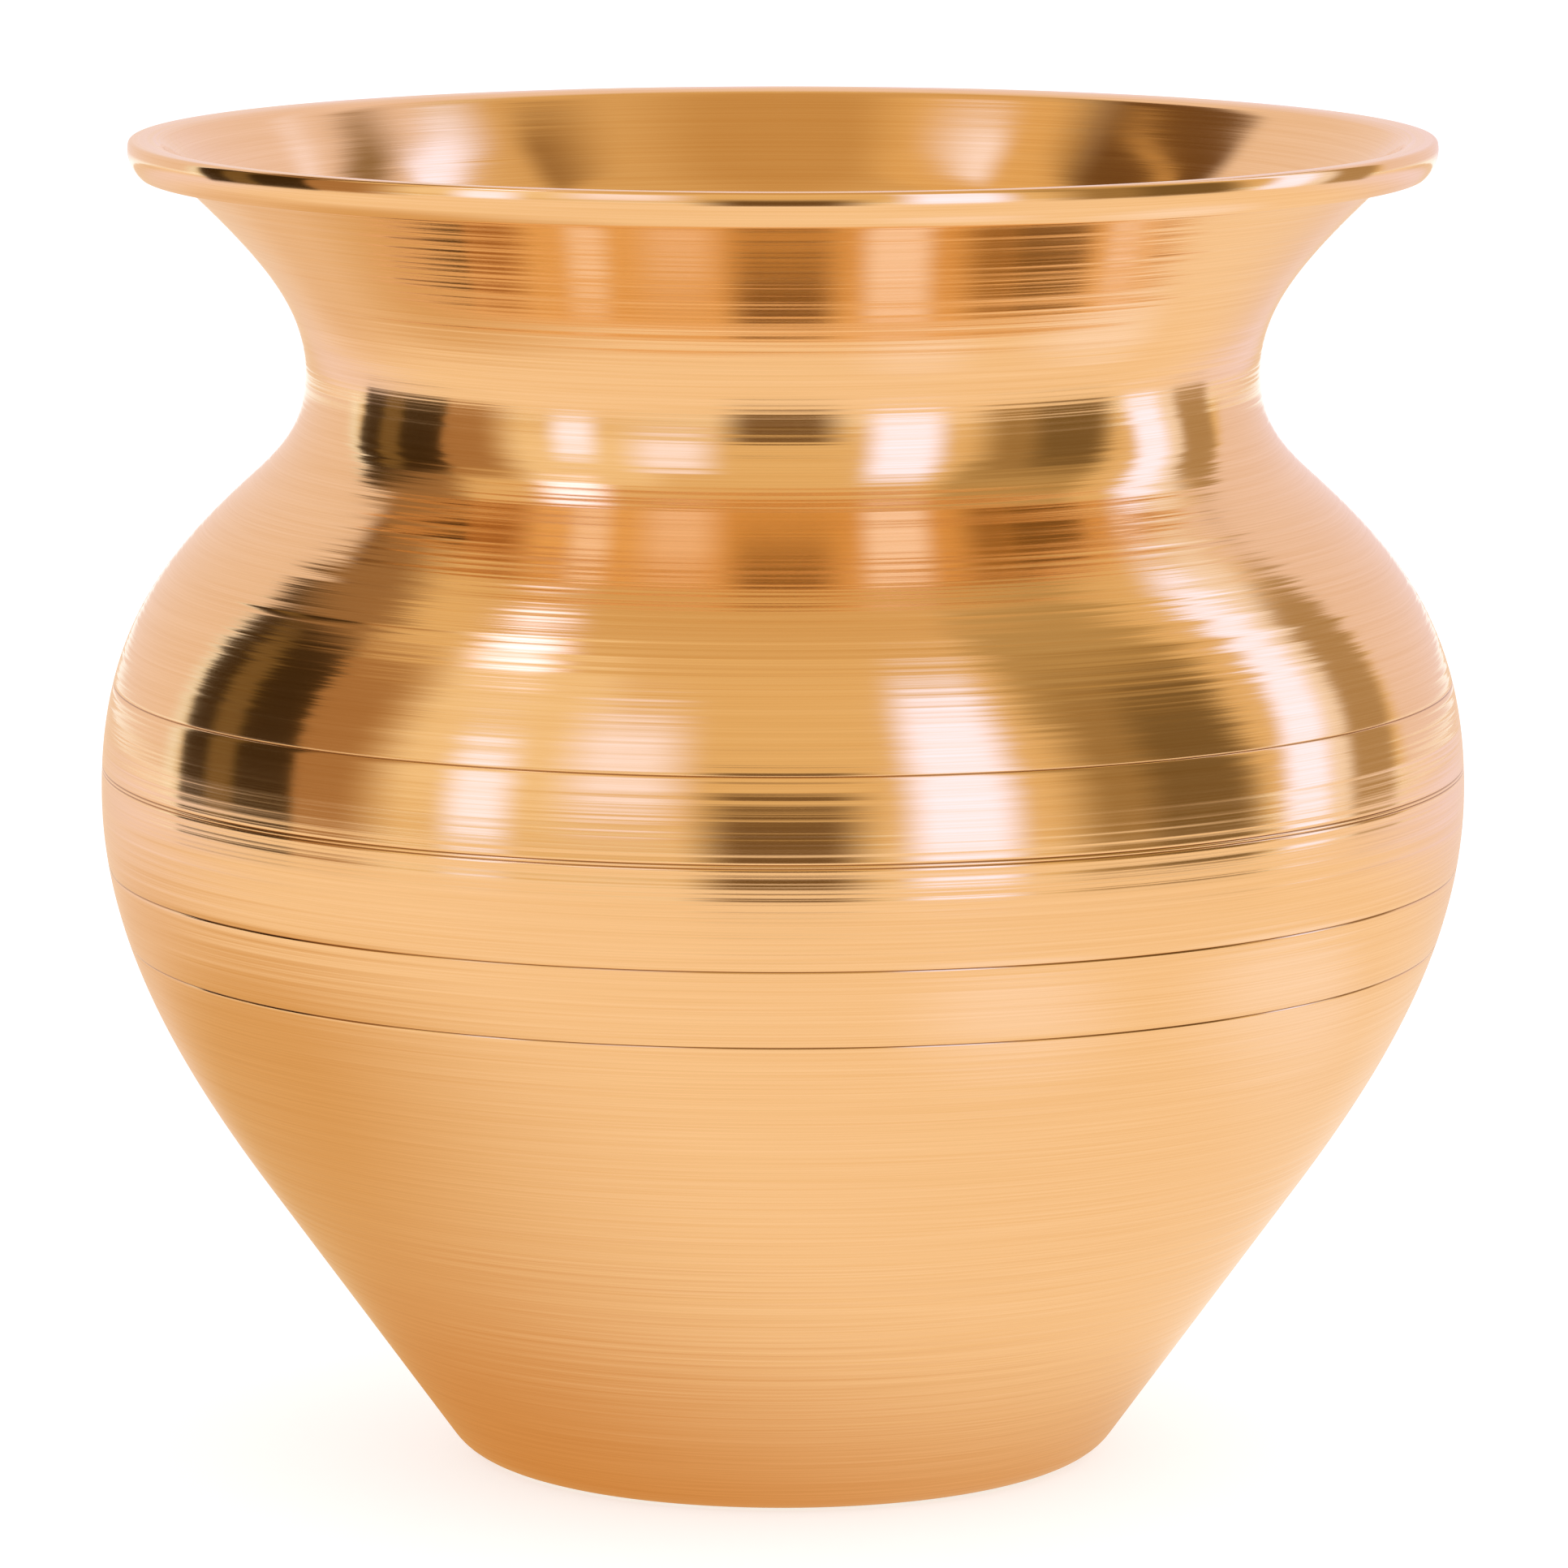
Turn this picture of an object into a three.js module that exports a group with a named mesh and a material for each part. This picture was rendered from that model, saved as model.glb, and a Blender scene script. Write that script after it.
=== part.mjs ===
// A brass kalash: a round pot with a flared mouth, worked from three sheet-brass pieces.
// The pieces are lapped, brazed together and turned smooth.
// Millimetres. Z is the pot's axis and z = 0 is the plane the foot stands on.
import * as THREE from "three";

const POT_HEIGHT = 102; // foot to the top of the lip
const BELLY_RADIUS = 52.5; // the widest point of the belly
const BELLY_HEIGHT = 51.9; // height of that widest point
const MOUTH_RADIUS = 50; // the outermost point of the lip
const NECK_RADIUS = 36.6; // the narrowest point between shoulder and mouth
const NECK_DROP = 17.9; // from the top of the lip down to the neck
const SHOULDER_RUN = 4.1; // from the neck out to where the shoulder turns over
const SHOULDER_DROP = 26; // from the top of the lip down to that same turn
const FOOT_RADIUS = 22.5; // out to where the foot's edge starts to turn up
const FOOT_EDGE_RADIUS = 4.1; // rounding between the foot and the cone
const FOOT_LAND = 4; // width of the flat ring the pot stands on
const FOOT_HOLLOW = 0.8; // how far the base is dished up inside that ring
const FOOT_STEP = 1.5; // width of the slope between the ring and the dish
const CONE_TOP = 21.8; // height where the straight lower cone ends
const WALL = 1.1; // sheet thickness, the same in all three pieces
const LIP_THICKNESS = 3.2; // the rolled lip, over both layers and the wire
const WIRE_CLEARANCE = 0.03; // between the wire and the roll it lies in
const LIP_FILLET = 3.8; // how far the braze under the lip runs down the flare
const LIP_CREASE = 0.15; // how far that braze lies below the roll's free end
const LAP = 4; // how far one piece's tongue slides into the next piece
const FILM = 0.2; // thickness of the braze in a lap
const FILLET = 1.3; // how far the braze runs on past the tongue's end
const JOGGLE = 2.5; // length over which a wall steps in to its tongue
const BELLY_SEAM_RISE = 2; // from the widest point up to the belly joint
const NECK_SEAM_DROP = 4; // from the neck down to the neck joint
const LINE_WIDTH = 0.16; // an incised decorative line
const LINE_DEPTH = 0.08;
const LINE_FROM_SEAM = 0.135; // one line each side of the belly joint
const LINE_RISES = [8.4, -5.7, -11.5]; // the other lines, from the widest point

const CONE_ANGLE = THREE.MathUtils.degToRad(35.7); // from the axis
const SHOULDER_ANGLE = THREE.MathUtils.degToRad(47.9); // from the axis
const FLARE_ANGLE = THREE.MathUtils.degToRad(42.8); // above the horizontal
const ROLL_END_ANGLE = THREE.MathUtils.degToRad(-131); // where the lip's roll stops

const SEGMENTS = 56; // flats round the axis

const UP = new THREE.Vector2(0, 1);
const lipRadius = LIP_THICKNESS / 2;
const hollowRadius = lipRadius - WALL;
const rollCentre = new THREE.Vector2(MOUTH_RADIUS - lipRadius, POT_HEIGHT - lipRadius);
const tongueOuter = WALL + FILM;
const tongueInner = tongueOuter + WALL;

// A point at a distance and an angle from the middle of the lip's roll.
function onRoll(radius, angle) {
  const x = rollCentre.x + radius * Math.cos(angle);
  return new THREE.Vector2(x, rollCentre.y + radius * Math.sin(angle));
}

// A smooth curve between two points, each with its direction and its pull. A pull is
// the length of that end's handle, as a share of the distance between the points.
function bend(start, startWay, startPull, end, endWay, endPull) {
  const span = start.distanceTo(end);
  const first = start.clone().addScaledVector(startWay, span * startPull);
  const second = end.clone().addScaledVector(endWay, -span * endPull);
  return new THREE.CubicBezierCurve(start, first, second, end);
}

// The pot's outside from the foot's edge to the roll of the lip, before any line is cut.
function outsideLine() {
  const coneWay = new THREE.Vector2(Math.sin(CONE_ANGLE), Math.cos(CONE_ANGLE));
  const shoulderWay = new THREE.Vector2(-Math.sin(SHOULDER_ANGLE), Math.cos(SHOULDER_ANGLE));
  const flareWay = new THREE.Vector2(Math.cos(FLARE_ANGLE), Math.sin(FLARE_ANGLE));
  const edge = new THREE.EllipseCurve(
    FOOT_RADIUS, FOOT_EDGE_RADIUS, FOOT_EDGE_RADIUS, FOOT_EDGE_RADIUS,
    -Math.PI / 2, -CONE_ANGLE,
  );
  const coneStart = edge.getPoint(1);
  const coneLength = (CONE_TOP - coneStart.y) / coneWay.y;
  const coneEnd = coneStart.clone().addScaledVector(coneWay, coneLength);
  const belly = new THREE.Vector2(BELLY_RADIUS, BELLY_HEIGHT);
  const shoulder = new THREE.Vector2(NECK_RADIUS + SHOULDER_RUN, POT_HEIGHT - SHOULDER_DROP);
  const neck = new THREE.Vector2(NECK_RADIUS, POT_HEIGHT - NECK_DROP);
  const flareEnd = onRoll(hollowRadius, Math.PI / 2 + FLARE_ANGLE);
  const line = new THREE.CurvePath();
  line.add(edge);
  line.add(new THREE.LineCurve(coneStart, coneEnd));
  line.add(bend(coneEnd, coneWay, 0.4, belly, UP, 0.314));
  line.add(bend(belly, UP, 0.48, shoulder, shoulderWay, 0.3));
  line.add(bend(shoulder, shoulderWay, 0.43, neck, UP, 0.374));
  line.add(bend(neck, UP, 0.262, flareEnd, flareWay, 0.547));
  return line;
}

const outside = outsideLine();
const [footEdgeEnd, coneEnd, bellyAt, , neckAt, flareEnd] = outside.getCurveLengths();

// The point at a depth under the outside, a distance along the line from the foot.
function skin(distance, depth) {
  const share = Math.min(distance / flareEnd, 1);
  const way = outside.getTangent(share);
  const inward = new THREE.Vector2(-way.y, way.x);
  return outside.getPoint(share).addScaledVector(inward, depth);
}

// The distance along the line at which it reaches a height.
function reach(height) {
  let low = 0;
  let high = flareEnd;
  for (let step = 0; step < 50; step += 1) {
    const middle = (low + high) / 2;
    if (skin(middle, 0).y < height) {
      low = middle;
    } else {
      high = middle;
    }
  }
  return low;
}

const bellySeam = reach(BELLY_HEIGHT + BELLY_SEAM_RISE);
const neckSeam = reach(POT_HEIGHT - NECK_DROP - NECK_SEAM_DROP);

// Even steps from one distance to another, both ends included.
function steps(from, to, count) {
  return Array.from({ length: count + 1 }, (_, i) => from + ((to - from) * i) / count);
}

// The laps have the same steps in every piece that meets there, so the pieces fit exactly.
const bellyLap = steps(bellySeam, bellySeam + LAP, 2);
const bellyFillet = bellySeam + LAP + FILLET;
const neckLap = steps(neckSeam, neckSeam - LAP, 2);
const neckFillet = neckSeam - LAP - FILLET;
const flareBraze = steps(flareEnd - LIP_FILLET, flareEnd, 3);

// Points along the line at one depth.
function layer(distances, depth) {
  return distances.map((distance) => skin(distance, depth));
}

// Outside points with a small V cut in at each line.
function lined(distances, lines) {
  const from = distances[0];
  const to = distances[distances.length - 1];
  const cuts = lines.filter((at) => at - LINE_WIDTH / 2 > from && at + LINE_WIDTH / 2 < to);
  const clear = distances.filter((at) => cuts.every((cut) => Math.abs(at - cut) > LINE_WIDTH));
  const stations = clear.map((at) => [at, 0]);
  for (const cut of cuts) {
    stations.push([cut - LINE_WIDTH / 2, 0], [cut, LINE_DEPTH], [cut + LINE_WIDTH / 2, 0]);
  }
  stations.sort((one, other) => one[0] - other[0]);
  return stations.map(([at, depth]) => skin(at, depth));
}

// Even steps round the lip's roll, at one radius, from one angle to another.
function roll(radius, from, to, count) {
  return steps(from, to, count).map((angle) => onRoll(radius, angle));
}

const brass = { metalness: 1, roughness: 0.28, color: 0xd9a441 };
const braze = { metalness: 1, roughness: 0.4, color: 0xcaa35a };
const drawn = { metalness: 1, roughness: 0.5, color: 0xb98f45 };

// A named mesh turned from a profile of (radius, height) points. A profile that
// doesn't touch the axis is closed back to its first point.
function turned(name, profile, look) {
  const points = profile.slice();
  if (profile[0].x > 0) {
    points.push(profile[0]);
  }
  const shape = new THREE.LatheGeometry(points, SEGMENTS);
  shape.rotateX(Math.PI / 2);
  const mesh = new THREE.Mesh(shape, new THREE.MeshStandardMaterial(look));
  mesh.name = name;
  return mesh;
}

const linesAt = LINE_RISES.map((rise) => reach(BELLY_HEIGHT + rise));

// The dished middle of the base, from the axis to the foot's ring, raised by a height.
function base(raise) {
  const ring = FOOT_RADIUS - FOOT_LAND;
  return [
    new THREE.Vector2(0, FOOT_HOLLOW + raise),
    new THREE.Vector2(ring - FOOT_STEP, FOOT_HOLLOW + raise),
    new THREE.Vector2(ring, raise),
  ];
}

// The bowl: base, cone and lower belly, with a tongue standing up inside its top edge.
function lowerBowl() {
  const below = [
    ...steps(0, footEdgeEnd, 4),
    ...steps(coneEnd, bellyAt, 11),
  ];
  const outer = lined([...below, bellySeam], [...linesAt, bellySeam - LINE_FROM_SEAM]);
  const wallTop = bellySeam - JOGGLE;
  const inner = layer([...below.filter((at) => at < wallTop - 1), wallTop], WALL);
  return [
    ...base(0),
    ...outer,
    ...layer(bellyLap, tongueOuter),
    ...layer(bellyLap, tongueInner).reverse(),
    ...inner.reverse(),
    ...base(WALL).reverse(),
  ];
}

// The shoulder: a plain shell between the two joints, cut square to its wall at each.
function shoulderShell() {
  const middle = steps(bellyFillet, neckFillet, 10);
  const all = [...bellyLap, ...middle, ...neckLap.slice().reverse()];
  return [
    ...lined(all, [...linesAt, bellySeam + LINE_FROM_SEAM]),
    ...layer(all, WALL).reverse(),
  ];
}

// The collar: neck and flare, with a tongue hanging down inside its lower edge
// and its upper edge rolled out and back under.
function mouthCollar() {
  const toNeck = steps(neckSeam, neckAt, 3);
  const flare = steps(neckAt, flareEnd - LIP_FILLET, 8).slice(1, -1);
  const rollStart = Math.PI / 2 + FLARE_ANGLE;
  const wall = [...flare, ...flareBraze];
  const innerWall = [neckSeam + JOGGLE, ...toNeck.filter((at) => at > neckSeam + JOGGLE), ...wall];
  return [
    ...layer(neckLap, tongueOuter).reverse(),
    ...layer(toNeck, 0),
    ...layer(wall, 0),
    ...roll(hollowRadius, rollStart, ROLL_END_ANGLE, 12).slice(1),
    ...roll(lipRadius, ROLL_END_ANGLE, rollStart, 14),
    ...layer(innerWall, WALL).reverse().slice(1),
    ...layer(neckLap, tongueInner),
  ];
}

// Braze in a lap: a film between shell and tongue, and a fillet past the tongue's end.
function lapBraze(lap, filletEnd) {
  const tongueEnd = lap[lap.length - 1];
  const profile = [
    ...layer([...lap, filletEnd], WALL),
    skin(tongueEnd, tongueInner),
    ...layer(lap, tongueOuter).reverse(),
  ];
  return filletEnd > tongueEnd ? profile : profile.reverse();
}

// Braze under the lip: it closes the roll against the flare and blends into it below.
function lipBraze() {
  const start = Math.PI / 2 + FLARE_ANGLE;
  const end = ROLL_END_ANGLE + 2 * Math.PI;
  return [
    onRoll(lipRadius - LIP_CREASE, end),
    ...roll(hollowRadius, end, start, 5),
    ...layer(flareBraze, 0).reverse().slice(1),
  ];
}

// The wire the lip is rolled round.
function wire() {
  return roll(hollowRadius - WIRE_CLEARANCE, 0, 2 * Math.PI, 10).slice(0, -1);
}

const pot = new THREE.Group();
pot.add(
  turned("lower_bowl", lowerBowl(), brass),
  turned("shoulder_shell", shoulderShell(), brass),
  turned("mouth_collar", mouthCollar(), brass),
  turned("rim_wire", wire(), drawn),
  turned("lip_braze", lipBraze(), braze),
  turned("neck_braze", lapBraze(neckLap, neckFillet), braze),
  turned("belly_braze", lapBraze(bellyLap, bellyFillet), braze),
);

export default pot;
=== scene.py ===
import bpy
import numpy as np
from mathutils import Euler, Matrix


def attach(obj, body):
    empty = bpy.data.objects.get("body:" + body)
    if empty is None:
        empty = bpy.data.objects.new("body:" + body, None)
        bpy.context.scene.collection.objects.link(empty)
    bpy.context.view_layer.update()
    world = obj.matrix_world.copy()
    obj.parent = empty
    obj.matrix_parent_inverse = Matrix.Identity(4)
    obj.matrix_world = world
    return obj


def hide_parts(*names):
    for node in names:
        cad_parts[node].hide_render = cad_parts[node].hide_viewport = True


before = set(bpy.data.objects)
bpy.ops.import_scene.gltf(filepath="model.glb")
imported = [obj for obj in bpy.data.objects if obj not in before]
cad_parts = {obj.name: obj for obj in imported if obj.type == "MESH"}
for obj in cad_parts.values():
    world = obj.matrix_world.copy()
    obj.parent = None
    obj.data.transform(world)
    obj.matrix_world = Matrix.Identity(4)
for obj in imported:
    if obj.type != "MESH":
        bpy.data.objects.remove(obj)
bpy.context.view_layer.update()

MM = 0.001

# ---------------------------------------------------------------- camera
# A long lens about seventy centimetres away, a little above the rim and looking down.
CAMERA_DISTANCE = 684.9 * MM
CAMERA_HEIGHT = 157.8 * MM
CAMERA_PITCH = np.radians(8.793)
SENSOR = 36.0
FOCAL_LENGTH = 205.9
LENS_SHIFT = 0.0007
CLIP_NEAR = 0.01
CLIP_FAR = 50.0

lens = bpy.data.cameras.new("camera")
lens.sensor_width = SENSOR
lens.lens = FOCAL_LENGTH
lens.shift_x = LENS_SHIFT
lens.clip_start = CLIP_NEAR
lens.clip_end = CLIP_FAR
camera = bpy.data.objects.new("camera", lens)
camera.location = (0.0, -CAMERA_DISTANCE, CAMERA_HEIGHT)
camera.rotation_euler = Euler((np.pi / 2 - CAMERA_PITCH, 0.0, 0.0))
bpy.context.scene.collection.objects.link(camera)
bpy.context.scene.camera = camera

# ---------------------------------------------------------------- lower bowl
# Base, straight cone and lower belly in one sheet of brass, raised and then turned.
# Its top edge steps in to a tongue that stands up inside the shoulder.
POT_HEIGHT = 102 * MM
BELLY_RADIUS = 52.5 * MM
BELLY_HEIGHT = 51.9 * MM
MOUTH_RADIUS = 50 * MM
NECK_RADIUS = 36.6 * MM
NECK_HEIGHT = POT_HEIGHT - 17.9 * MM
SHOULDER_RADIUS = NECK_RADIUS + 4.1 * MM
SHOULDER_HEIGHT = POT_HEIGHT - 26 * MM
FOOT_RADIUS = 22.5 * MM
FOOT_EDGE_RADIUS = 4.1 * MM
FOOT_LAND = 4 * MM
FOOT_HOLLOW = 0.8 * MM
FOOT_STEP = 1.5 * MM
CONE_TOP = 21.8 * MM
CONE_ANGLE = np.radians(35.7)
SHOULDER_ANGLE = np.radians(47.9)
FLARE_ANGLE = np.radians(42.8)
WALL = 1.1 * MM
LIP_RADIUS = 1.6 * MM
ROLL_HOLLOW = LIP_RADIUS - WALL
LAP = 4 * MM
FILM = 0.2 * MM
FILLET = 1.3 * MM
JOGGLE = 2.5 * MM
TONGUE_OUTER = WALL + FILM
TONGUE_INNER = TONGUE_OUTER + WALL
BELLY_SEAM_HEIGHT = BELLY_HEIGHT + 2 * MM
NECK_SEAM_HEIGHT = NECK_HEIGHT - 4 * MM
LINE_WIDTH = 0.2 * MM
LINE_DEPTH = 0.07 * MM
LINE_FROM_SEAM = 0.135 * MM
LINES_ON_BOWL = BELLY_HEIGHT + np.array([-5.7, -11.5]) * MM
LINES_ON_SHOULDER = BELLY_HEIGHT + np.array([8.4]) * MM

# How strongly each curve holds to its two end directions, as shares of its span.
LOWER_BELLY_PULLS = (0.4, 0.314)
UPPER_BELLY_PULLS = (0.48, 0.3)
SHOULDER_PULLS = (0.43, 0.374)
FLARE_PULLS = (0.262, 0.547)
LIP_PULLS = (0.28, 0.3)

# How finely the outside line and the profiles are sampled.
FOOT_EDGE_POINTS = 200
CONE_POINTS = 600
CURVE_POINTS = 1200
OUTSIDE_STEP = 0.4 * MM
INSIDE_STEP = 0.8 * MM
FLARE_STEP = 0.5 * MM
LINE_POINTS = 9
LINE_MARGIN = 0.8 * LINE_WIDTH
DARK_REACH = 0.45 * LINE_WIDTH
AROUND = 288
SHARP_ANGLE = np.radians(30.0)
AXIS_TOLERANCE = 1e-9

roll_centre = np.array([MOUTH_RADIUS - LIP_RADIUS, POT_HEIGHT - LIP_RADIUS])


def on_roll(radius, angles):
    """Points (radius, height) round the lip's centre: centre plus radius times cos and sin."""
    angles = np.asarray(angles, dtype=float)[..., None]
    return roll_centre + radius * np.concatenate([np.cos(angles), np.sin(angles)], axis=-1)


def bend(start, start_way, end, end_way, pulls, count=CURVE_POINTS):
    """A cubic curve from start to end, leaving along start_way and arriving along end_way.

    The two middle corners stand off the ends by the pulls times the distance between them,
    and the point at t is (1-t)^3, 3t(1-t)^2, 3t^2(1-t) and t^3 of the four corners.
    """
    start, end = np.asarray(start), np.asarray(end)
    span = np.linalg.norm(end - start)
    first = start + span * pulls[0] * np.asarray(start_way)
    second = end - span * pulls[1] * np.asarray(end_way)
    t = np.linspace(0, 1, count)[:, None]
    u = 1 - t
    return u**3 * start + 3 * t * u**2 * first + 3 * t**2 * u * second + t**3 * end


def outside_line():
    """The pot's outside from the foot's edge to the roll of the lip, as (radius, height)."""
    up = np.array([0.0, 1.0])
    cone_way = np.array([np.sin(CONE_ANGLE), np.cos(CONE_ANGLE)])
    shoulder_way = np.array([-np.sin(SHOULDER_ANGLE), np.cos(SHOULDER_ANGLE)])
    flare_way = np.array([np.cos(FLARE_ANGLE), np.sin(FLARE_ANGLE)])
    turn = np.linspace(-np.pi / 2, -CONE_ANGLE, FOOT_EDGE_POINTS)[:, None]
    edge = np.array([FOOT_RADIUS, FOOT_EDGE_RADIUS])
    edge = edge + FOOT_EDGE_RADIUS * np.hstack([np.cos(turn), np.sin(turn)])
    cone_end = edge[-1] + cone_way * (CONE_TOP - edge[-1][1]) / cone_way[1]
    cone = np.linspace(edge[-1], cone_end, CONE_POINTS)
    belly = np.array([BELLY_RADIUS, BELLY_HEIGHT])
    shoulder = np.array([SHOULDER_RADIUS, SHOULDER_HEIGHT])
    neck = np.array([NECK_RADIUS, NECK_HEIGHT])
    flare_end = on_roll(ROLL_HOLLOW, np.pi / 2 + FLARE_ANGLE)
    stretches = [
        edge,
        cone,
        bend(cone_end, cone_way, belly, up, LOWER_BELLY_PULLS),
        bend(belly, up, shoulder, shoulder_way, UPPER_BELLY_PULLS),
        bend(shoulder, shoulder_way, neck, up, SHOULDER_PULLS),
        bend(neck, up, flare_end, flare_way, FLARE_PULLS),
    ]
    return np.vstack([stretches[0]] + [stretch[1:] for stretch in stretches[1:]])


line = outside_line()
line_at = np.concatenate([[0.0], np.cumsum(np.linalg.norm(np.diff(line, axis=0), axis=1))])
line_way = np.gradient(line, line_at, axis=0)
line_way /= np.linalg.norm(line_way, axis=1)[:, None]
FLARE_END = line_at[-1]


def reach(height):
    """How far along the outside line a height is reached."""
    return np.interp(height, line[:, 1], line_at)


def skin(distance, depth=0.0):
    """Points (radius, height) under the outside: the line's point, moved inwards square to it."""
    distance = np.asarray(distance, dtype=float)
    point = np.stack([np.interp(distance, line_at, line[:, k]) for k in (0, 1)], axis=-1)
    way = np.stack([np.interp(distance, line_at, line_way[:, k]) for k in (0, 1)], axis=-1)
    inward = np.stack([-way[..., 1], way[..., 0]], axis=-1)
    return point + inward * np.asarray(depth)[..., None]


def cut_line(start, stop, lines):
    """Outside points between two distances, dipping into each incised line.

    Away from the lines the points are evenly spaced. At a line the depth follows
    half a cosine wave: deepest in the middle and nothing at the line's two edges.
    """
    even = np.linspace(start, stop, max(2, int(round((stop - start) / OUTSIDE_STEP)) + 1))
    across = np.linspace(-0.5, 0.5, LINE_POINTS) * LINE_WIDTH
    near = np.abs(even[:, None] - lines[None, :]).min(axis=1) < LINE_MARGIN
    near[[0, -1]] = False
    distance = np.sort(np.concatenate([even[~near], (lines[:, None] + across).ravel()]))
    off = np.abs(distance[:, None] - lines[None, :]).min(axis=1) / (LINE_WIDTH / 2)
    depth = np.where(off < 1, LINE_DEPTH * 0.5 * (1 + np.cos(np.pi * np.clip(off, 0, 1))), 0)
    return skin(distance, depth)


def plain(start, stop, depth, step=INSIDE_STEP):
    """Evenly spaced points at one depth between two distances along the line."""
    count = max(2, int(round(abs(stop - start) / step)) + 1)
    return skin(np.linspace(start, stop, count), depth)


def darkening_in(profile, grooves):
    """How dark each profile point is painted: 1 at a groove's bottom, 0 beyond its edges.

    It falls evenly with the distance from the nearest groove's bottom.
    """
    away = np.linalg.norm(profile[:, None] - np.asarray(grooves)[None], axis=2).min(axis=1)
    return np.clip(1 - away / DARK_REACH, 0, 1)


def turned(name, profile, node, darkening=None, inside_from=None):
    """A piece turned about Z from a profile of (radius, height) points.

    Point j of the profile goes to (r cos a, r sin a, h) at each of the even angles a.
    A profile that touches the axis ends in one point there; any other closes on itself.
    Its UV map holds the share of the way round and the distance along the profile, and its
    darkening attribute repeats how dark each profile point is painted. Faces from the profile
    point inside_from onwards take the second material. The piece replaces the frame's node.
    """
    profile = np.asarray(profile)
    darkening = np.zeros(len(profile)) if darkening is None else darkening
    on_axis = profile[0, 0] < AXIS_TOLERANCE
    ring = profile[1:-1] if on_axis else profile
    rows = len(ring)
    angle = np.arange(AROUND) * (2 * np.pi / AROUND)
    x = ring[:, 0][:, None] * np.cos(angle)
    y = ring[:, 0][:, None] * np.sin(angle)
    z = np.broadcast_to(ring[:, 1][:, None], x.shape)
    points = np.stack([x, y, z], axis=-1).reshape(-1, 3)
    run = np.concatenate([[0.0], np.cumsum(np.linalg.norm(np.diff(profile, axis=0), axis=1))])

    first_row = 1 if on_axis else 0
    lower = np.arange(rows - 1 if on_axis else rows)
    upper = (lower + 1) % rows
    here = np.arange(AROUND)
    after = (here + 1) % AROUND
    quads = np.stack(
        [
            lower[:, None] * AROUND + here,
            lower[:, None] * AROUND + after,
            upper[:, None] * AROUND + after,
            upper[:, None] * AROUND + here,
        ],
        axis=-1,
    ).reshape(-1, 4)
    share = here / AROUND
    next_share = (here + 1) / AROUND
    closing = run[-1] + np.linalg.norm(profile[0] - profile[-1])
    run_low = run[first_row:][lower]
    run_high = np.append(run, closing)[first_row:][lower + 1]
    uv_quads = np.stack(
        [
            np.stack(np.broadcast_arrays(share, run_low[:, None]), axis=-1),
            np.stack(np.broadcast_arrays(next_share, run_low[:, None]), axis=-1),
            np.stack(np.broadcast_arrays(next_share, run_high[:, None]), axis=-1),
            np.stack(np.broadcast_arrays(share, run_high[:, None]), axis=-1),
        ],
        axis=2,
    ).reshape(-1, 2)
    corners = [quads.ravel()]
    uvs = [uv_quads]
    if on_axis:
        bottom, top = len(points), len(points) + 1
        poles = [[0, 0, profile[0, 1]], [0, 0, profile[-1, 1]]]
        points = np.vstack([points, poles])
        last = (rows - 1) * AROUND
        fan_low = np.stack([np.full(AROUND, bottom), after, here], axis=-1)
        fan_high = np.stack([np.full(AROUND, top), last + here, last + after], axis=-1)
        corners += [fan_low.ravel(), fan_high.ravel()]
        middle = (share + next_share) / 2
        for ends, away in ((0, 1), (-1, -2)):
            rim = np.full(AROUND, run[away])
            pole = np.stack([middle, np.full(AROUND, run[ends])], axis=-1)
            one = np.stack([next_share if ends == 0 else share, rim], axis=-1)
            two = np.stack([share if ends == 0 else next_share, rim], axis=-1)
            uvs.append(np.stack([pole, one, two], axis=1).reshape(-1, 2))
    corners = np.concatenate(corners)
    sizes = np.full(len(quads), 4)
    if on_axis:
        sizes = np.concatenate([sizes, np.full(2 * AROUND, 3)])
    starts = np.concatenate([[0], np.cumsum(sizes)[:-1]])

    mesh = bpy.data.meshes.new(name)
    mesh.vertices.add(len(points))
    mesh.vertices.foreach_set("co", points.astype(np.float32).ravel())
    mesh.loops.add(len(corners))
    mesh.loops.foreach_set("vertex_index", corners.astype(np.int32))
    mesh.polygons.add(len(sizes))
    mesh.polygons.foreach_set("loop_start", starts.astype(np.int32))
    mesh.polygons.foreach_set("use_smooth", np.ones(len(sizes), dtype=bool))
    if inside_from is not None:
        inside = np.repeat(lower + first_row >= inside_from, AROUND)
        inside = np.append(inside, np.repeat([False, True], AROUND)) if on_axis else inside
        mesh.polygons.foreach_set("material_index", inside.astype(np.int32))
    mesh.update(calc_edges=True)
    layer = mesh.uv_layers.new(name="turned")
    layer.data.foreach_set("uv", np.vstack(uvs).astype(np.float32).ravel())
    mesh.set_sharp_from_angle(angle=SHARP_ANGLE)
    dark_share = np.repeat(darkening[1:-1] if on_axis else darkening, AROUND)
    dark_share = np.append(dark_share, [0.0, 0.0]) if on_axis else dark_share
    dark_layer = mesh.attributes.new("darkening", "FLOAT", "POINT")
    dark_layer.data.foreach_set("value", dark_share.astype(np.float32))
    mesh.validate()
    piece = bpy.data.objects.new(name, mesh)
    bpy.context.scene.collection.objects.link(piece)
    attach(piece, "root")
    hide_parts(node)
    return piece


# ---------------------------------------------------------------- brass
NOISE_LOW, NOISE_HIGH = 0.3, 0.7
MICROMETRE = 1e-6
ALONG_THE_RINGS = 0.25
SWELL_DEPTH = 40.0
HAIR_DEPTH = 0.5
DEEPER = (0.93, 0.87, 0.76)
# Dark brown painted at the bottoms of the incised lines, and as painted shade in the crease under
# the lip.
LINE_AND_CREASE_DARK = (0.3, 0.14, 0.04)


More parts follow.
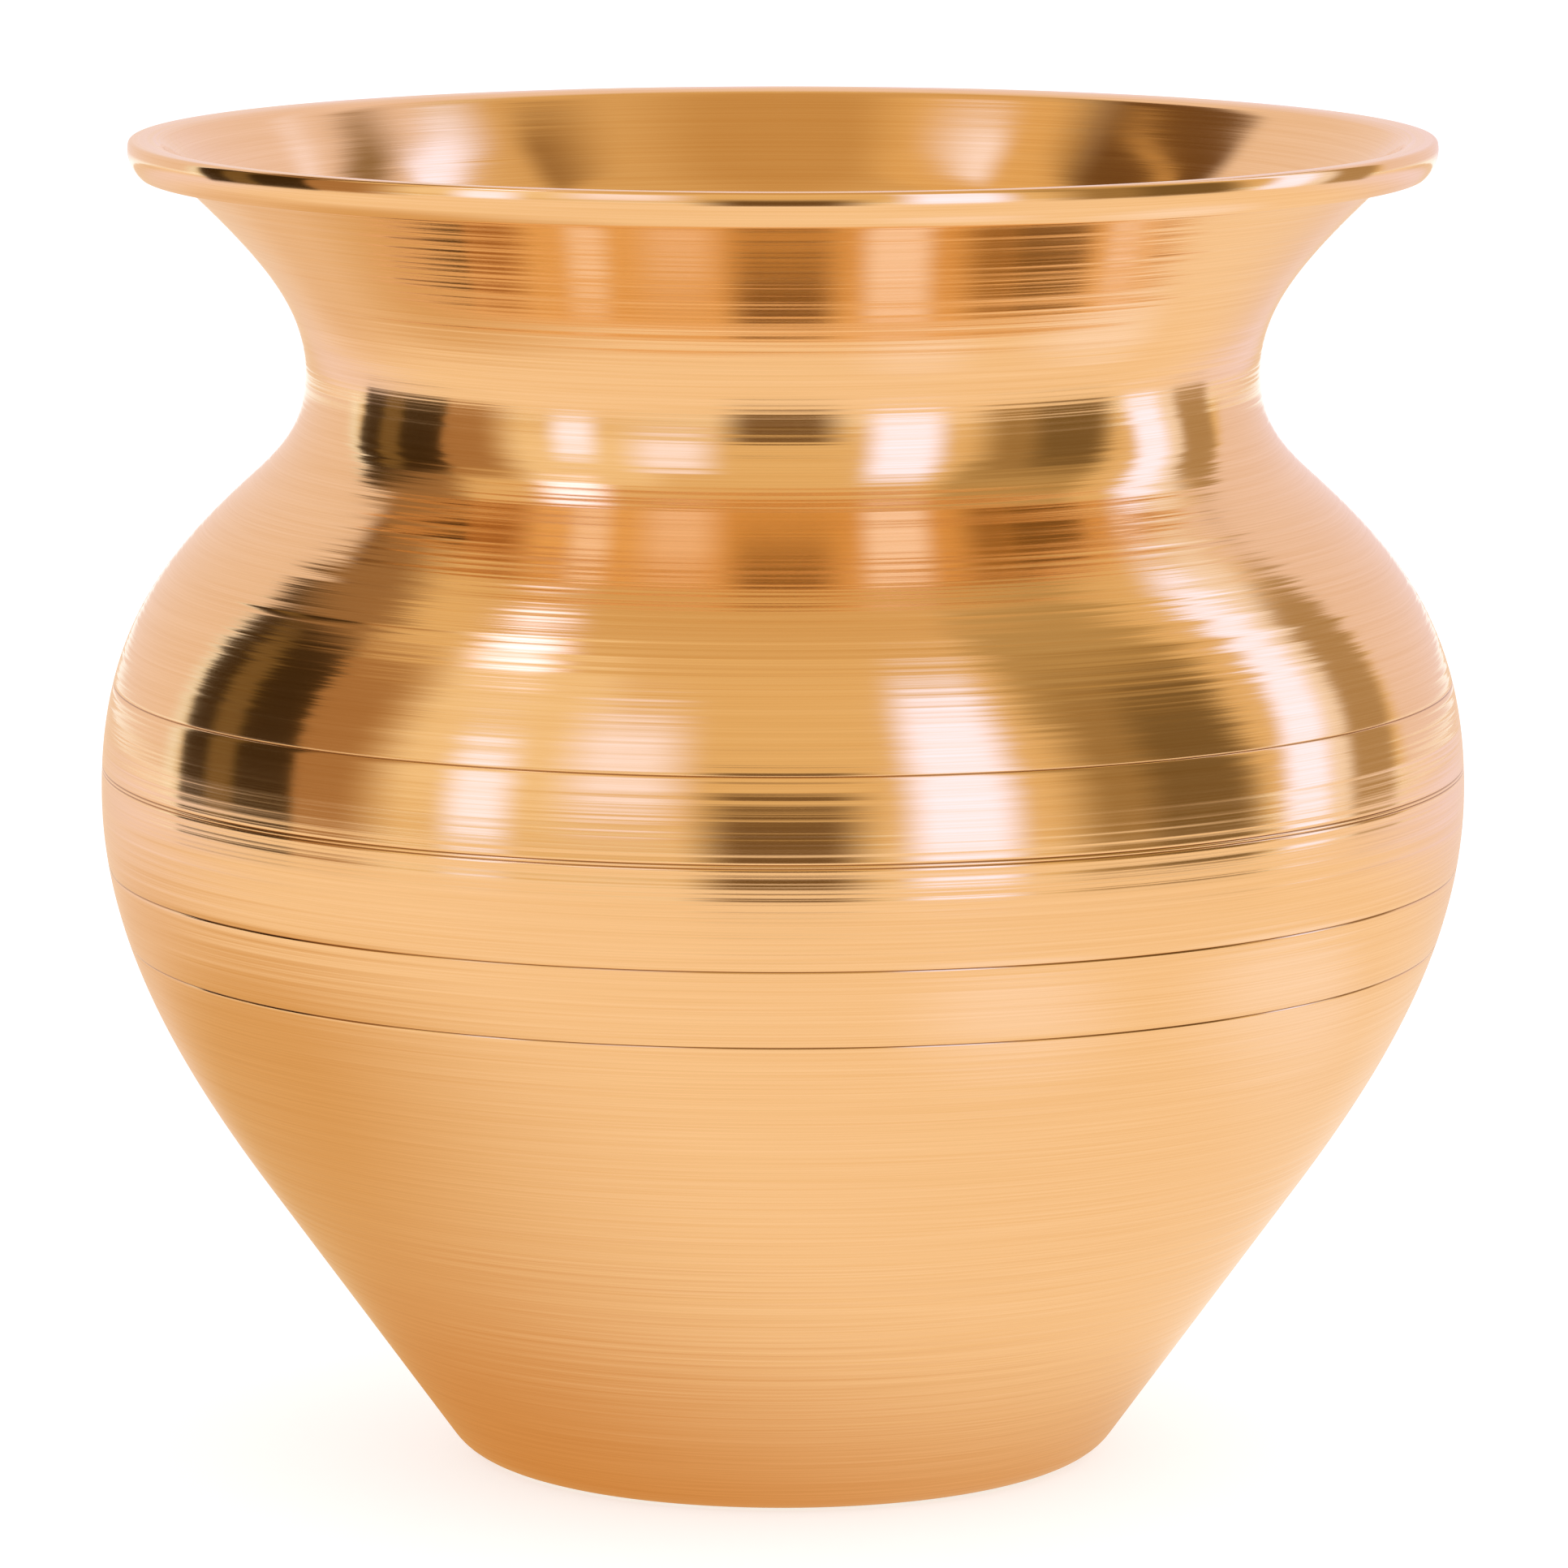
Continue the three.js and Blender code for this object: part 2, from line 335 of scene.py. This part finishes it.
class Nodes:
    """Short names for building one material's node tree."""

    def __init__(self, name):
        self.material = bpy.data.materials.new(name)
        self.material.use_nodes = True
        self.tree = self.material.node_tree
        self.shader = self.tree.nodes["Principled BSDF"]

    def add(self, kind, **settings):
        node = self.tree.nodes.new(kind)
        for key, value in settings.items():
            setattr(node, key, value)
        return node

    def link(self, source, target):
        self.tree.links.new(source, target)

    def math(self, operation, one, two=None):
        node = self.add("ShaderNodeMath", operation=operation)
        for socket, value in zip(node.inputs, (one, two)):
            if value is None:
                continue
            if isinstance(value, (int, float)):
                socket.default_value = value
            else:
                self.link(value, socket)
        return node.outputs[0]

    def marks(self, around, along, detail=2.0, roughness=0.5, shift=0.0):
        """Noise drawn out round the axis.

        The position is (cos a, sin a) times around, and the distance along the profile
        times along, so the pattern closes on itself and keeps its pitch up the wall.
        shift moves one pattern away from another.
        """
        place = self.add("ShaderNodeTexCoord").outputs["Object"]
        flat = self.add("ShaderNodeVectorMath", operation="MULTIPLY")
        flat.inputs[1].default_value = (1, 1, 0)
        self.link(place, flat.inputs[0])
        unit = self.add("ShaderNodeVectorMath", operation="NORMALIZE")
        self.link(flat.outputs[0], unit.inputs[0])
        ring = self.add("ShaderNodeVectorMath", operation="SCALE")
        ring.inputs["Scale"].default_value = around
        self.link(unit.outputs[0], ring.inputs[0])
        uv = self.add("ShaderNodeUVMap", uv_map="turned")
        split = self.add("ShaderNodeSeparateXYZ")
        self.link(uv.outputs[0], split.inputs[0])
        rise = self.math("MULTIPLY_ADD", split.outputs[1], along)
        rise.node.inputs[2].default_value = shift
        lift = self.add("ShaderNodeCombineXYZ")
        self.link(rise, lift.inputs[2])
        total = self.add("ShaderNodeVectorMath", operation="ADD")
        self.link(ring.outputs[0], total.inputs[0])
        self.link(lift.outputs[0], total.inputs[1])
        noise = self.add("ShaderNodeTexNoise")
        noise.inputs["Scale"].default_value = 1.0
        noise.inputs["Detail"].default_value = detail
        noise.inputs["Roughness"].default_value = roughness
        self.link(total.outputs[0], noise.inputs["Vector"])
        return noise.outputs["Fac"]

    def spread(self, value, low, high):
        """Maps the middle of a noise to a range, from low to high."""
        node = self.add("ShaderNodeMapRange")
        node.inputs["From Min"].default_value = NOISE_LOW
        node.inputs["From Max"].default_value = NOISE_HIGH
        node.inputs["To Min"].default_value = low
        node.inputs["To Max"].default_value = high
        self.link(value, node.inputs["Value"])
        return node.outputs[0]


def turned_brass(
    name, tint=(0.92, 0.68, 0.4), rough=0.13, stretch=0.8, tool=75.0, polish=9.0
):
    """Brass turned on a lathe and polished with a pad while it spins.

    The tool leaves long rings about half a millimetre apart, and the pad shorter and finer
    scratches over them. tool and polish are their depths in micrometres, and stretch is how
    far highlights are drawn out across the rings. The darkening attribute paints a dark brown
    into the incised lines, and painted shade into the crease under the lip.
    """
    n = Nodes(name)
    shader = n.shader
    shader.inputs["Metallic"].default_value = 1.0
    shader.inputs["Anisotropic"].default_value = stretch
    shader.inputs["Anisotropic Rotation"].default_value = ALONG_THE_RINGS

    rings = n.marks(0.4, 1700, detail=1.5, shift=3.0)
    scratches = n.marks(0.5, 4000, detail=2.0, roughness=0.6, shift=11.0)
    hairs = n.marks(1.6, 9000, detail=2.0, roughness=0.6, shift=31.0)
    swell = n.marks(0.25, 220, detail=1.0, shift=23.0)
    cover = n.marks(2.2, 60, detail=1.0, shift=41.0)

    light = n.add("ShaderNodeRGB")
    light.outputs[0].default_value = (*tint, 1)
    deep = n.add("ShaderNodeRGB")
    deep.outputs[0].default_value = (*(part * share for part, share in zip(tint, DEEPER)), 1)
    dark_colour = n.add("ShaderNodeRGB")
    dark_colour.outputs[0].default_value = (*LINE_AND_CREASE_DARK, 1)
    blend = n.add("ShaderNodeMix", data_type="RGBA")
    n.link(n.spread(hairs, 0.0, 1.0), blend.inputs["Factor"])
    n.link(light.outputs[0], blend.inputs["A"])
    n.link(deep.outputs[0], blend.inputs["B"])
    dark_share = n.add("ShaderNodeAttribute", attribute_name="darkening", attribute_type="GEOMETRY")
    darkened = n.add("ShaderNodeMix", data_type="RGBA")
    n.link(dark_share.outputs["Fac"], darkened.inputs["Factor"])
    n.link(blend.outputs["Result"], darkened.inputs["A"])
    n.link(dark_colour.outputs[0], darkened.inputs["B"])
    n.link(darkened.outputs["Result"], shader.inputs["Base Color"])

    n.link(n.spread(scratches, rough * 0.85, rough * 1.15), shader.inputs["Roughness"])

    normal = None
    heights = (
        (swell, SWELL_DEPTH),
        (n.math("MULTIPLY", rings, n.spread(cover, 0.6, 1.2)), tool),
        (n.math("MULTIPLY", scratches, n.spread(cover, 1.2, 0.6)), polish),
        (hairs, HAIR_DEPTH),
    )
    for height, depth in heights:
        bump = n.add("ShaderNodeBump")
        bump.inputs["Distance"].default_value = depth * MICROMETRE
        n.link(height, bump.inputs["Height"])
        if normal is not None:
            n.link(normal, bump.inputs["Normal"])
        normal = bump.outputs[0]
    n.link(normal, shader.inputs["Normal"])

    grain = n.add("ShaderNodeTangent", direction_type="UV_MAP", uv_map="turned")
    n.link(grain.outputs[0], shader.inputs["Tangent"])
    return n.material


# ---------------------------------------------------------------- bowl's profile and mesh
def base(raised):
    """The dished middle of the base, from the axis out to the foot's ring."""
    ring = FOOT_RADIUS - FOOT_LAND
    out = np.linspace(0.0, 1.0, 5)[:, None] * [ring - FOOT_STEP, 0.0]
    return np.vstack([out + [0, FOOT_HOLLOW + raised], [[ring, raised]]])


belly_seam = reach(BELLY_SEAM_HEIGHT)
bowl_lines = np.append(reach(LINES_ON_BOWL), belly_seam - LINE_FROM_SEAM)
bowl_inside = np.vstack(
    [
        plain(belly_seam + LAP, belly_seam, TONGUE_INNER),
        plain(belly_seam - JOGGLE, 0.0, WALL),
        base(WALL)[::-1],
    ]
)
bowl_profile = np.vstack(
    [
        base(0.0),
        cut_line(0.0, belly_seam, bowl_lines),
        plain(belly_seam, belly_seam + LAP, TONGUE_OUTER),
        bowl_inside,
    ]
)
bowl_darkening = darkening_in(bowl_profile, skin(bowl_lines, LINE_DEPTH))
bowl = turned("bowl", bowl_profile, "lower_bowl", bowl_darkening, len(bowl_profile) - len(bowl_inside))
sheet_brass = turned_brass("turned_sheet_brass")
burnished_brass = turned_brass("burnished_brass", rough=0.1, stretch=0.5, tool=4.0, polish=2.0)
bowl.data.materials.append(sheet_brass)
bowl.data.materials.append(burnished_brass)

# ---------------------------------------------------------------- shoulder
# The upper belly and shoulder: one raised sheet, cut square at both joints.
# The bowl's tongue and the collar's tongue are brazed inside its two edges.
neck_seam = reach(NECK_SEAM_HEIGHT)
shoulder_lines = np.append(reach(LINES_ON_SHOULDER), belly_seam + LINE_FROM_SEAM)
shoulder_outside = cut_line(belly_seam, neck_seam, shoulder_lines)
shoulder_profile = np.vstack([shoulder_outside, plain(neck_seam, belly_seam, WALL)])
shoulder_darkening = darkening_in(shoulder_profile, skin(shoulder_lines, LINE_DEPTH))
shoulder = turned(
    "shoulder", shoulder_profile, "shoulder_shell", shoulder_darkening, len(shoulder_outside)
)
shoulder.data.materials.append(sheet_brass)
shoulder.data.materials.append(burnished_brass)

# ---------------------------------------------------------------- mouth collar
# Neck and flare in one sheet, its edge rolled out and back under round a wire, and then
# turned true: a narrow bead round the top and a flat band below it that leans inwards.
# A tongue hangs down inside the shoulder's upper edge.
ROLL_START = np.pi / 2 + FLARE_ANGLE
ROLL_END = np.radians(-131)
TOP_RADIUS = 0.35 * MM
TOP_END = np.radians(12)
FACE_RADIUS = 2.2 * MM
FACE_END = np.radians(-3)
BAND_END = np.radians(-46)
BAND_FOOT = POT_HEIGHT - 2.75 * MM
BAND_CORNER = 0.3 * MM
ROLL_EDGE = 0.62 * MM
FACE_POINTS = 12
TOP_POINTS = 14
BAND_POINTS = 24
BAND_CORNER_POINTS = 8
OVER_POINTS = 16
ROLL_POINTS = 24


def arc(centre, radius, start, end, count):
    """Points of a circle from one angle to another: centre plus radius times cos and sin."""
    turn = np.linspace(start, end, count)[:, None]
    return np.asarray(centre) + radius * np.hstack([np.cos(turn), np.sin(turn)])


def lip_outside():
    """The lip's outside from the sheet's edge, out along the underside and up to the flare.

    It is a straight underside, a small arc, the rounded band, the flatter face, the small
    arc over the top, and a cubic curve that runs back into the flare's inner face.
    """
    top_height = POT_HEIGHT - TOP_RADIUS * (1 - np.sin(TOP_END))
    face_centre = [MOUTH_RADIUS - FACE_RADIUS, top_height - FACE_RADIUS * np.sin(TOP_END)]
    face = arc(face_centre, FACE_RADIUS, FACE_END, TOP_END, FACE_POINTS)
    top_centre = face[-1] - TOP_RADIUS * np.array([np.cos(TOP_END), np.sin(TOP_END)])
    top = arc(top_centre, TOP_RADIUS, TOP_END, np.pi / 2, TOP_POINTS)
    fall = face[0, 1] - BAND_FOOT - BAND_CORNER * (1 + np.sin(BAND_END))
    band_radius = fall / (np.sin(FACE_END) - np.sin(BAND_END))
    face_out = np.array([np.cos(FACE_END), np.sin(FACE_END)])
    band_centre = face[0] - band_radius * face_out
    band = arc(band_centre, band_radius, BAND_END, FACE_END, BAND_POINTS)
    band_out = np.array([np.cos(BAND_END), np.sin(BAND_END)])
    corner_centre = band[0] - BAND_CORNER * band_out
    corner = arc(corner_centre, BAND_CORNER, -np.pi / 2, BAND_END, BAND_CORNER_POINTS)
    flare_way = np.array([np.cos(FLARE_ANGLE), np.sin(FLARE_ANGLE)])
    flare_top = on_roll(LIP_RADIUS, ROLL_START)
    over = bend(flare_top, flare_way, top[-1], [1.0, 0.0], LIP_PULLS, OVER_POINTS)[::-1]
    edge = on_roll(ROLL_HOLLOW + ROLL_EDGE, ROLL_END)
    return np.vstack([edge, corner, band[1:], face[1:], top[1:], over[1:]])


collar_outside = np.vstack(
    [
        plain(neck_seam - LAP, neck_seam, TONGUE_OUTER),
        plain(neck_seam, FLARE_END, 0.0, OUTSIDE_STEP),
        on_roll(ROLL_HOLLOW, np.linspace(ROLL_START, ROLL_END, ROLL_POINTS))[1:],
    ]
)
collar_profile = np.vstack(
    [
        collar_outside,
        lip_outside(),
        plain(FLARE_END, neck_seam + JOGGLE, WALL, FLARE_STEP)[1:],
        plain(neck_seam, neck_seam - LAP, TONGUE_INNER),
    ]
)
collar = turned("collar", collar_profile, "mouth_collar", inside_from=len(collar_outside))
collar.data.materials.append(sheet_brass)
collar.data.materials.append(burnished_brass)

# ---------------------------------------------------------------- braze and wire
# Brazing brass run in where the lip's roll meets the flare, and in the two laps,
# and the drawn wire that the lip is rolled round.
LIP_FILLET = 2.0 * MM
LIP_CREASE = 0.15 * MM
LIP_FILLET_POINTS = 10
WIRE_CLEARANCE = 0.03 * MM
WIRE_POINTS = 24
brazing_brass = turned_brass("brazing_brass", tint=(0.91, 0.69, 0.42), rough=0.16, tool=20.0)
drawn_brass = turned_brass("drawn_brass", tint=(0.8, 0.5, 0.22), rough=0.3)

lip_profile = np.vstack(
    [
        on_roll(ROLL_HOLLOW + ROLL_EDGE - LIP_CREASE, [ROLL_END + 2 * np.pi]),
        on_roll(ROLL_HOLLOW, np.linspace(ROLL_END + 2 * np.pi, ROLL_START, LIP_FILLET_POINTS)),
        plain(FLARE_END, FLARE_END - LIP_FILLET, 0.0)[1:],
    ]
)
# Painted shade: the crease where the lip's rolled edge meets the braze fillet is painted dark
# brown, for the shadow line under the lip's band.
lip_crease_shade = darkening_in(lip_profile, lip_profile[:1])
lip_ring = turned("lip_fillet", lip_profile, "lip_braze", lip_crease_shade)
lip_ring.data.materials.append(brazing_brass)

wire_round = np.linspace(0, 2 * np.pi, WIRE_POINTS + 1)[:-1]
wire = turned("lip_wire", on_roll(ROLL_HOLLOW - WIRE_CLEARANCE, wire_round), "rim_wire")
wire.data.materials.append(drawn_brass)


def lap_profile(seam, way):
    """A braze film from the seam to the tongue's end, then a fillet past that end."""
    tongue_end = seam + way * LAP
    fillet_end = tongue_end + way * FILLET
    rows = np.vstack(
        [
            plain(seam, tongue_end, WALL),
            skin([fillet_end], [WALL]),
            skin([tongue_end], [TONGUE_INNER]),
            plain(tongue_end, seam, TONGUE_OUTER),
        ]
    )
    return rows if way > 0 else rows[::-1]


belly_ring = turned("belly_braze_ring", lap_profile(belly_seam, 1), "belly_braze")
neck_ring = turned("neck_braze_ring", lap_profile(neck_seam, -1), "neck_braze")
for ring in (belly_ring, neck_ring):
    ring.data.materials.append(brazing_brass)

# ---------------------------------------------------------------- table
# A white table top, larger than the picture.
TABLE_FRONT = 0.62
TABLE_BACK = 3.0
TABLE_SIDE = 1.6
TABLE_COLOUR = (0.5, 0.53, 0.56)
TABLE_ROUGHNESS = 0.9
TABLE_GLOW = 0.6


def sheet_between(name, corners):
    """A flat sheet with four corners."""
    mesh = bpy.data.meshes.new(name)
    mesh.from_pydata(corners, [], [(0, 1, 2, 3)])
    obj = bpy.data.objects.new(name, mesh)
    bpy.context.scene.collection.objects.link(obj)
    return obj


table = sheet_between(
    "table",
    [
        (-TABLE_SIDE, -TABLE_FRONT, 0),
        (TABLE_SIDE, -TABLE_FRONT, 0),
        (TABLE_SIDE, TABLE_BACK, 0),
        (-TABLE_SIDE, TABLE_BACK, 0),
    ],
)
table_white = bpy.data.materials.new("table_white")
table_white.use_nodes = True
table_shader = table_white.node_tree.nodes["Principled BSDF"]
table_shader.inputs["Base Color"].default_value = (*TABLE_COLOUR, 1)
table_shader.inputs["Roughness"].default_value = TABLE_ROUGHNESS
table_shader.inputs["Emission Color"].default_value = (1, 1, 1, 1)
table_shader.inputs["Emission Strength"].default_value = TABLE_GLOW
table.data.materials.append(table_white)

# ---------------------------------------------------------------- studio
# A plain white world lights the table. The room that the brass mirrors, with its windows,
# doorways, curtains and beams and whoever stands at the camera, is made of curved cards
# about the pot that only reflections can see.
world = bpy.data.worlds.new("studio")
world.use_nodes = True
world.node_tree.nodes["Background"].inputs["Color"].default_value = (1, 1, 1, 1)
world.node_tree.nodes["Background"].inputs["Strength"].default_value = 1.0
bpy.context.scene.world = world
bpy.context.scene.view_settings.view_transform = "Standard"

POT_MIDDLE = 55 * MM
CARD_COLUMNS = 32
CARD_ROWS = 16


def glow_only(obj):
    """Leaves a card to reflections alone: it neither shows, lights the table nor shades it."""
    obj.visible_camera = False
    obj.visible_diffuse = False
    obj.visible_shadow = False


def card(
    name,
    left,
    right,
    low,
    high,
    colour,
    distance=0.35,
    lean=0.0,
    side_fade=6.0,
    head_fade=9.0,
    foot_fade=3.5,
):
    """A card on a dome about the pot, seen only in reflections.

    Its edges are angles in degrees: left and right of the camera's side, and up from the
    pot's middle. A point at angles (a, e) stands off that middle by the distance times
    (cos e sin a, -cos e cos a, sin e), and lean turns the card's upper edge sideways by that
    angle. It fades out over side_fade degrees at its sides, foot_fade at its foot and
    head_fade at its head.
    """
    columns, rows = np.linspace(0, 1, CARD_COLUMNS + 1), np.linspace(0, 1, CARD_ROWS + 1)
    side, rise = np.meshgrid(columns, rows, indexing="ij")
    e = np.radians(low + (high - low) * rise)
    a = np.radians(left + (right - left) * side + lean * rise)
    points = distance * np.stack([np.cos(e) * np.sin(a), -np.cos(e) * np.cos(a), np.sin(e)], -1)
    points = points.reshape(-1, 3) + [0, 0, POT_MIDDLE]
    i, j = np.meshgrid(np.arange(CARD_COLUMNS), np.arange(CARD_ROWS), indexing="ij")
    k = (i * len(rows) + j).ravel()
    quads = np.stack([k, k + len(rows), k + len(rows) + 1, k + 1], axis=-1)
    mesh = bpy.data.meshes.new(name)
    mesh.from_pydata(points.tolist(), [], quads.tolist())
    place = np.stack([side.ravel(), rise.ravel()], axis=-1)[quads.ravel()]
    mesh.uv_layers.new(name="card").data.foreach_set("uv", place.astype(np.float32).ravel())
    obj = bpy.data.objects.new(name, mesh)
    bpy.context.scene.collection.objects.link(obj)

    n = Nodes(name)
    uv = n.add("ShaderNodeUVMap", uv_map="card")
    split = n.add("ShaderNodeSeparateXYZ")
    n.link(uv.outputs[0], split.inputs[0])
    wide, tall = right - left, high - low
    edges = (
        (split.outputs[0], side_fade / wide),
        (n.math("SUBTRACT", 1.0, split.outputs[0]), side_fade / wide),
        (split.outputs[1], foot_fade / tall),
        (n.math("SUBTRACT", 1.0, split.outputs[1]), head_fade / tall),
    )
    mask = 1.0
    for inside, fade in edges:
        ramp = n.add("ShaderNodeMapRange", interpolation_type="SMOOTHSTEP")
        ramp.inputs["From Min"].default_value = 0.0
        ramp.inputs["From Max"].default_value = fade
        n.link(inside, ramp.inputs["Value"])
        mask = n.math("MULTIPLY", mask, ramp.outputs[0])
    light = n.add("ShaderNodeEmission")
    light.inputs["Color"].default_value = (*colour, 1)
    clear = n.add("ShaderNodeBsdfTransparent")
    mix = n.add("ShaderNodeMixShader")
    n.link(mask, mix.inputs[0])
    n.link(clear.outputs[0], mix.inputs[1])
    n.link(light.outputs[0], mix.inputs[2])
    n.link(mix.outputs[0], n.tree.nodes["Material Output"].inputs["Surface"])
    n.tree.nodes.remove(n.shader)
    mesh.materials.append(n.material)
    glow_only(obj)


CREAM = (0.87, 0.62, 0.34)
WARM_WHITE = (1.0, 0.8, 0.56)
LILAC = (0.94, 0.75, 0.76)
CEILING = (0.76, 0.5, 0.24)
DAYLIGHT = (1.22, 1.34, 2.3)
PALE = (1.14, 1.1, 1.5)
DARK = (0.05, 0.026, 0.008)
WOOD = (0.44, 0.23, 0.095)
CURTAIN = (0.38, 0.24, 0.1)
CEILING_MIDDLE = (0.64, 0.38, 0.15)
CEILING_LEFT = (0.85, 0.55, 0.25)
FIGURE = (0.16, 0.085, 0.03)
# A dome's cap closes on itself, so it has no sides or head to fade at.
CAP = {"side_fade": 0.1, "head_fade": 0.1}

# The room and its ceiling.
card("room", -122, 132, -4, 72, CREAM, distance=0.8)
card("ceiling", -180, 180, 48, 90, CEILING, distance=0.75, foot_fade=18, **CAP)
card("ceiling_middle", -180, 180, 74, 90, CEILING_MIDDLE, distance=0.72, foot_fade=10, **CAP)
card("ceiling_left", -132, -70, 58, 84, CEILING_LEFT, distance=0.7, side_fade=8, head_fade=8)
card("backdrop_left", -190, -120, -4, 62, (0.94, 0.74, 0.67), distance=0.78)
card("backdrop_right", 122, 190, -4, 62, LILAC, distance=0.78)

# The left wall, with its doorway, a narrow window and a skylight.
card("wall_left", -76, -26, 4, 56, WARM_WHITE, distance=0.45, side_fade=12, head_fade=14)
card("door_top", -124, -88, 28, 55, (0.36, 0.2, 0.09), distance=0.38, side_fade=8)
card("door_wood", -103, -60, -6, 46, WOOD, distance=0.37, side_fade=15, head_fade=14)
card("door_dark", -114, -81, -6, 40, DARK, lean=-6, side_fade=2.5)
card("door_panel", -106, -95, -5, 36, (0.2, 0.12, 0.042), distance=0.345, lean=-6, side_fade=3.5)
card("narrow_window", -57, -40, -4, 30, (1.2, 1.28, 2.0), side_fade=7, head_fade=14, foot_fade=8)
card("skylight_spot", -72, -46, 40, 60, (1.7, 1.8, 3.0), side_fade=9, head_fade=8, foot_fade=8)

# The front, where the camera stands between a pale screen and the big window.
card("soft_screen", -40, -11, 3, 42, PALE, side_fade=12, head_fade=16, foot_fade=10)
card("photographer", -17, 17, -8, 17, FIGURE, distance=0.34, side_fade=11, head_fade=11)
card("window", 16, 40, -6, 52, DAYLIGHT, side_fade=8, head_fade=18)

# The right side: curtains, and a second window past them.
card("curtain_top", 38, 88, 26, 68, (0.54, 0.37, 0.17), distance=0.37, side_fade=10, head_fade=12)
card("curtain", 40, 86, -6, 48, CURTAIN, distance=0.36, side_fade=13, head_fade=18)
card("curtain_fold", 55, 83, -6, 40, (0.21, 0.13, 0.05), side_fade=9, head_fade=16)
card("side_pale", 92, 112, -6, 52, (1.03, 0.94, 1.0), distance=0.345, lean=10, side_fade=6)
card("side_window", 81, 98, -6, 54, DAYLIGHT, distance=0.34, lean=14, side_fade=6, head_fade=10)
card("side_shade", 99, 118, -6, 40, (0.48, 0.32, 0.17), distance=0.342, lean=9, side_fade=5)

# Beams and skylights behind the pot, which its shoulder and flare mirror.
card("skylight_pale", 145, 154, 28, 45, PALE, distance=0.6)
card("beam_right", 132, 146, 36, 55, (0.28, 0.17, 0.07), distance=0.6)
card("skylight_right", 120, 136, 48, 64, DAYLIGHT, distance=0.59)
card("beam_over", 96, 128, 63, 75, (0.37, 0.21, 0.085), distance=0.6)
card("skylight_left", -124, -96, 67, 79, PALE, distance=0.6, side_fade=5)
card("beam_left", -150, -112, 40, 66, (0.17, 0.08, 0.025), distance=0.6)
card("beam_gap", -136, -130, 44, 62, (0.61, 0.35, 0.13), distance=0.59, side_fade=2)

# What the brass mirrors of the table, painted on a glowing card: white, with painted pools of
# daylight in front and on the right, and the pot's own brown shade painted close under it and
# away to the left.
TABLE_CARD = 0.7
TABLE_CARD_LIFT = 0.2 * MM
TABLE_TONE = (1.04, 0.83, 0.66)
# Each painted spot of light or shade has its middle, x and y, the radii of its full tone and of
# its edge, and its tone.
TABLE_PAINTED_SPOTS = (
    (0.0, 0.65, 0.4, 0.62, (0.91, 0.67, 0.49)),
    (-0.11, 0.11, 0.03, 0.16, (0.89, 0.63, 0.44)),
    (-0.075, 0.01, 0.02, 0.1, (0.78, 0.49, 0.24)),
    (0.056, -0.088, 0.005, 0.04, (1.1, 0.95, 0.95)),
    (0.115, -0.012, 0.01, 0.06, (1.1, 0.97, 1.0)),
    (0.35, 0.3, 0.05, 0.32, (1.0, 0.85, 1.0)),
    (-0.4, 0.25, 0.05, 0.32, (1.0, 0.83, 0.9)),
    (-0.006, 0.003, 0.023, 0.047, (0.7, 0.36, 0.13)),
)
table_card = sheet_between(
    "table_card",
    [
        (-TABLE_CARD, -TABLE_CARD, TABLE_CARD_LIFT),
        (TABLE_CARD, -TABLE_CARD, TABLE_CARD_LIFT),
        (TABLE_CARD, TABLE_CARD, TABLE_CARD_LIFT),
        (-TABLE_CARD, TABLE_CARD, TABLE_CARD_LIFT),
    ],
)
n = Nodes("table_card")
place = n.add("ShaderNodeTexCoord").outputs["Object"]
colour = None
for x, y, core, rim, tone in TABLE_PAINTED_SPOTS:
    away = n.add("ShaderNodeVectorMath", operation="DISTANCE")
    n.link(place, away.inputs[0])
    away.inputs[1].default_value = (x, y, 0)
    ramp = n.add("ShaderNodeMapRange", interpolation_type="SMOOTHSTEP")
    ramp.inputs["From Min"].default_value = rim
    ramp.inputs["From Max"].default_value = core
    n.link(away.outputs["Value"], ramp.inputs["Value"])
    blend = n.add("ShaderNodeMix", data_type="RGBA")
    n.link(ramp.outputs[0], blend.inputs["Factor"])
    blend.inputs["A"].default_value = (*TABLE_TONE, 1)
    blend.inputs["B"].default_value = (*tone, 1)
    if colour is not None:
        n.link(colour, blend.inputs["A"])
    colour = blend.outputs["Result"]
light = n.add("ShaderNodeEmission")
n.link(colour, light.inputs["Color"])
n.link(light.outputs[0], n.tree.nodes["Material Output"].inputs["Surface"])
n.tree.nodes.remove(n.shader)
table_card.data.materials.append(n.material)
glow_only(table_card)
